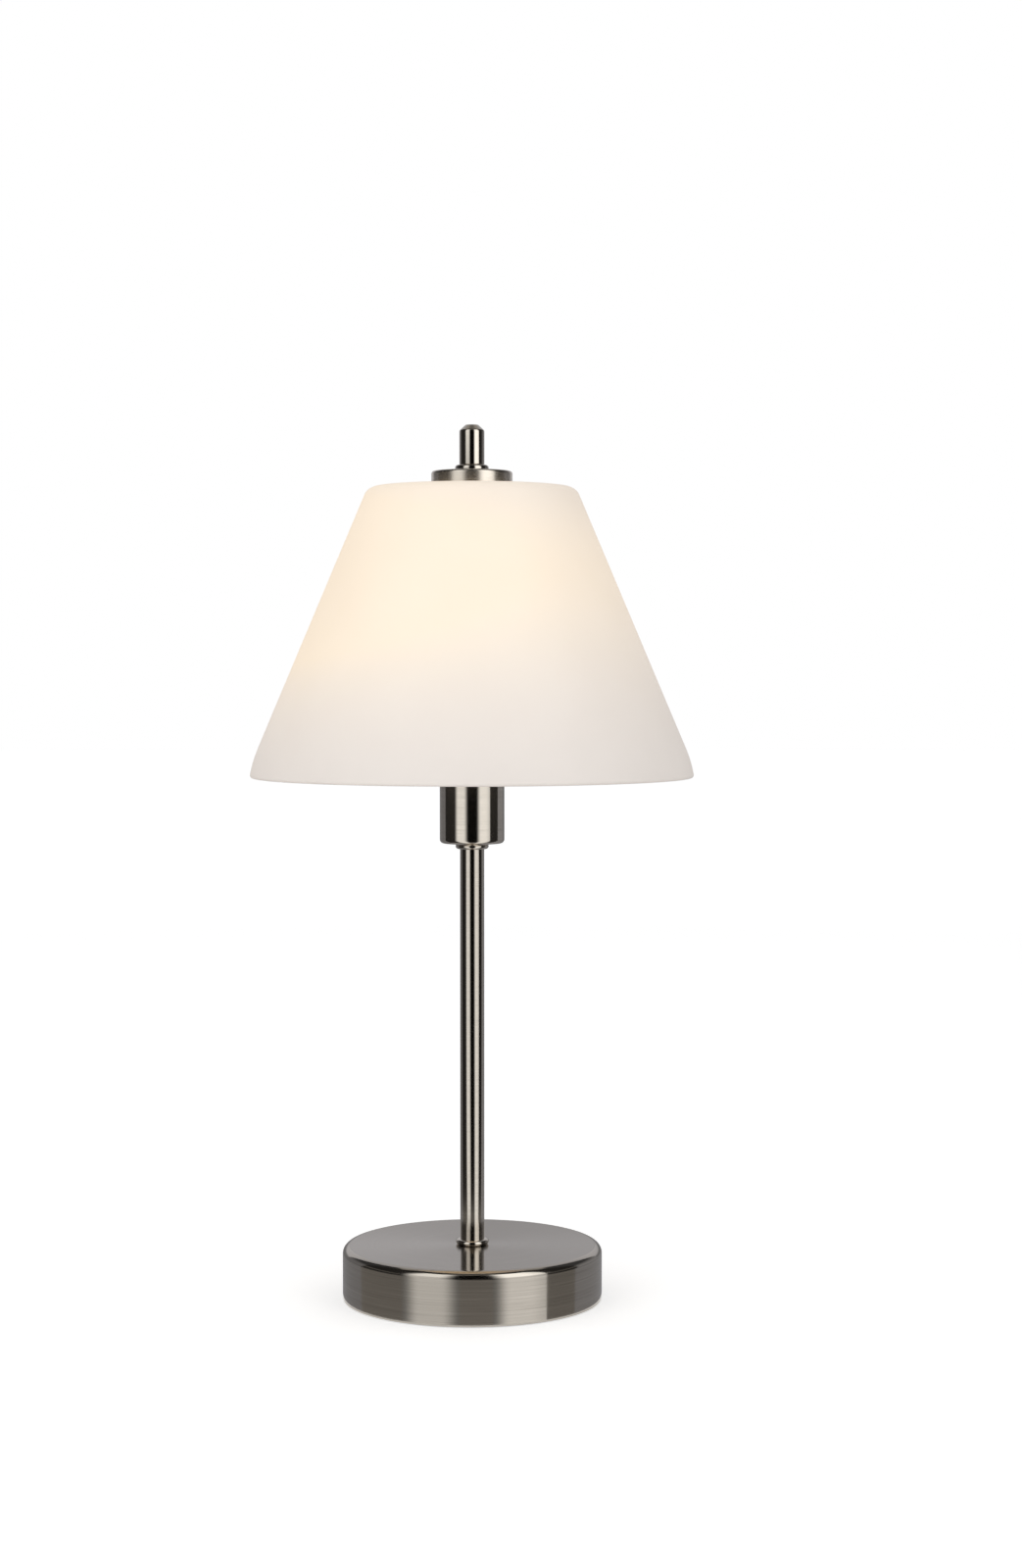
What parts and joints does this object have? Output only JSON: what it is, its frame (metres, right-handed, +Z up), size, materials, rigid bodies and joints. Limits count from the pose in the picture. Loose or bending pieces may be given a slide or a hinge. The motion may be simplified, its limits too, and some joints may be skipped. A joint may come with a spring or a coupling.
{
  "type": "table lamp",
  "caption": "Touch table lamp: satin metal round base and slim stem, socket cup, opal glass cone shade clamped on a wire harp by a cap and finial.",
  "frame": {"origin": "centre of the foot pad's underside, on the lamp's axis, at table level", "axes": "+Z up along the stem, +Y towards the cord inlet at the back, -Y the front"},
  "size_m": [0.219, 0.219, 0.4332],
  "materials": {
    "satin_nickel": "satin nickel plate, brushed round the axis",
    "opal_glass": "white opal glass, satin etched, lit from inside",
    "zinc_plate": "bright zinc plate on mild steel",
    "cast_weight": "grey iron casting with a thin black coat",
    "foam_pad": "black foamed rubber",
    "black_rubber": "moulded black rubber",
    "clear_silicone": "translucent silicone",
    "white_moulding": "heat-resistant white moulding",
    "circuit_board": "green lacquered board",
    "components": "moulded component cases",
    "brass_parts": "bright brass",
    "black_insulation": "black wire insulation",
    "brown_insulation": "brown wire insulation",
    "blue_insulation": "blue wire insulation",
    "steatite": "pressed ceramic",
    "solder": "domed solder",
    "black_vitrite": "black vitreous insulator",
    "bulb_metal": "nickel-plated screw cap",
    "bulb_glass_clear": "clear glass mount",
    "tungsten": "tungsten coil and nickel support wires",
    "bulb_frost": "inside-frosted glass"
  },
  "bodies": {
    "lamp": {"foot_pad": "foam_pad", "base_plate": "zinc_plate", "plate_screws": "zinc_plate", "base_shell": "satin_nickel", "base_weight": "cast_weight", "cord_grommet": "black_rubber", "dimmer_tray": "white_moulding", "dimmer_cover": "white_moulding", "dimmer_board": "circuit_board", "dimmer_components": "components", "dimmer_screws": "zinc_plate", "touch_terminal": "brass_parts", "touch_lead": "black_insulation", "lock_washer": "zinc_plate", "base_nut": "zinc_plate", "threaded_rod": "zinc_plate", "foot_collar": "satin_nickel", "stem_tube": "satin_nickel", "top_collar": "satin_nickel", "socket_cup": "satin_nickel", "harp_saddle": "zinc_plate", "cup_nut": "zinc_plate", "live_lead": "brown_insulation", "neutral_lead": "blue_insulation", "holder_cap": "white_moulding", "holder_insert": "steatite", "terminal_screws": "brass_parts", "screw_contact": "brass_parts", "centre_contact": "brass_parts", "holder_skirt": "white_moulding", "harp_wire": "zinc_plate", "harp_stud": "zinc_plate", "seat_plate": "zinc_plate", "seat_washer": "black_rubber"},
    "shade": {"glass_shade": "opal_glass", "top_gasket": "clear_silicone", "shade_cap": "satin_nickel"},
    "finial_collar": {"finial_collar": "satin_nickel"},
    "finial": {"finial": "satin_nickel"},
    "bulb_foot": {"bulb_contact": "solder", "bulb_insulator": "black_vitrite"},
    "bulb": {"bulb_cap": "bulb_metal", "bulb_stem": "bulb_glass_clear", "bulb_filament": "tungsten", "bulb_glass": "bulb_frost"}
  },
  "joints": [
    {"name": "shade_lift", "type": "slide", "parent": "lamp", "child": "shade", "axis": [0, 0, 1], "range_m": [0, 0.17]},
    {"name": "finial_rise", "type": "slide", "parent": "shade", "child": "finial_collar", "axis": [0, 0, 1], "range_m": [0, 0.0126]},
    {"name": "finial_turn", "type": "hinge", "parent": "finial_collar", "child": "finial", "pos_m": [0, 0, 0.42], "axis": [0, 0, 1], "range_deg": [0, 4500]},
    {"name": "bulb_rise", "type": "slide", "parent": "lamp", "child": "bulb_foot", "axis": [0, 0, 1], "range_m": [0, 0.017]},
    {"name": "bulb_turn", "type": "hinge", "parent": "bulb_foot", "child": "bulb", "pos_m": [0, 0, 0.28], "axis": [0, 0, 1], "range_deg": [0, 2160]}
  ],
  "couplings": [
    {"joint": "finial_rise", "follows": "finial_turn", "m_per_rad": 0.00015915},
    {"joint": "bulb_rise", "follows": "bulb_turn", "m_per_rad": 0.00044917}
  ]
}
